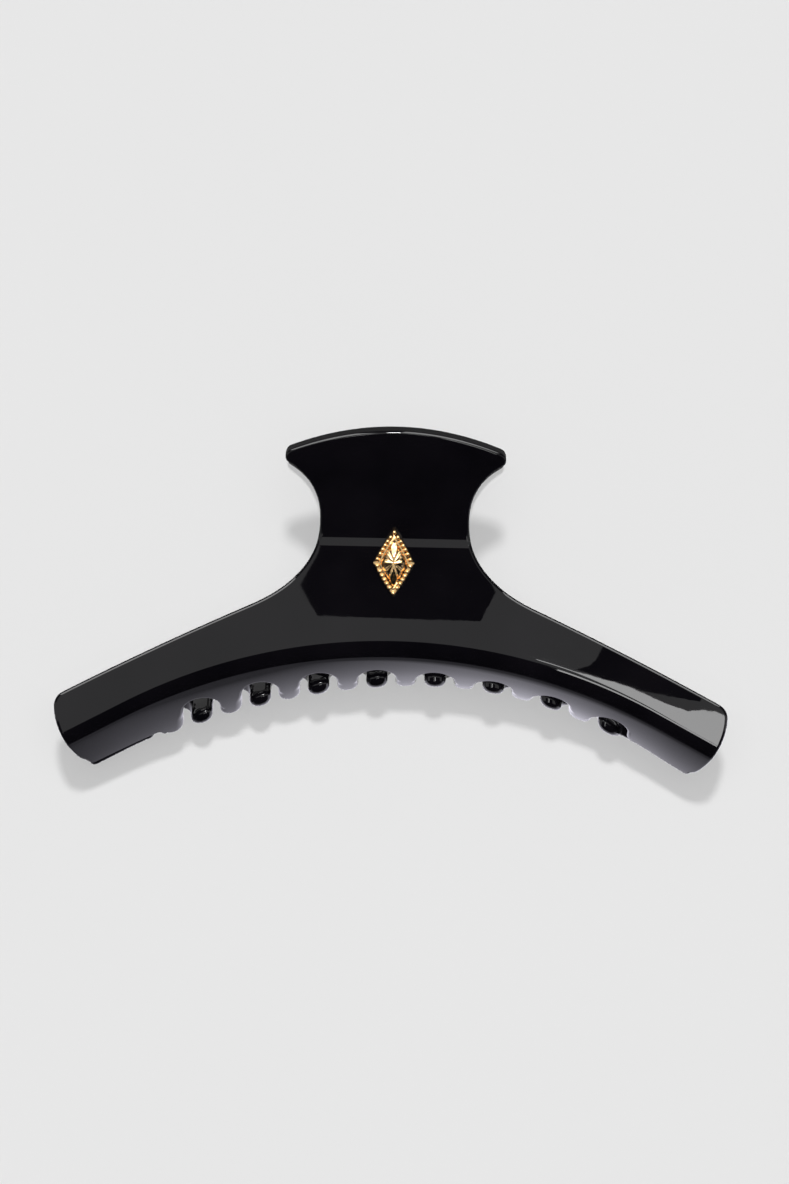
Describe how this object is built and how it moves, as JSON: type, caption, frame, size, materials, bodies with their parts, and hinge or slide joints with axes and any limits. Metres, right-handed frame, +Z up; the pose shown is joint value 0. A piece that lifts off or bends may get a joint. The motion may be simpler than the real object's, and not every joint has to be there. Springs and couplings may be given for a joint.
{
  "type": "large claw hair clip",
  "caption": "Wide arched claw clip of glossy black sheet with a flared thumb handle, interlocking round-tipped teeth, a hidden sprung hinge and a small gold stud; grips a twist of hair.",
  "frame": {"origin": "middle of the bounding box's bottom, on the table the clip lies on", "axes": "+X along the clip, to the right as seen from the decorated front; +Y from the teeth towards the handles; +Z up, out of the decorated front, with the clip lying on its back"},
  "size_m": [0.1302, 0.0686, 0.0386],
  "materials": {
    "jaw_acetate": "tumble-polished black acetate sheet",
    "hinge_steel": "nickel-plated stamped steel",
    "rivet_steel": "bright nickel plate",
    "spring_wire": "drawn spring wire",
    "stud_gold": "polished pale gold plate"
  },
  "bodies": {
    "back_half": {"back_jaw": "jaw_acetate", "back_hinge_leaf": "hinge_steel", "back_rivet_left": "rivet_steel", "back_rivet_right": "rivet_steel", "hinge_pin": "rivet_steel", "torsion_spring": "spring_wire"},
    "front_half": {"front_jaw": "jaw_acetate", "front_hinge_leaf": "hinge_steel", "front_rivet_left": "rivet_steel", "front_rivet_right": "rivet_steel", "front_stud": "stud_gold"}
  },
  "joints": [
    {"name": "jaw_open", "type": "hinge", "parent": "back_half", "child": "front_half", "pos_m": [0, 0.0077, 0.01624], "axis": [-1, 0, 0], "range_deg": [0, 66], "stiffness_Nm_per_rad": 0.16, "springref_deg": -42.97, "deforming": ["torsion_spring"]}
  ]
}
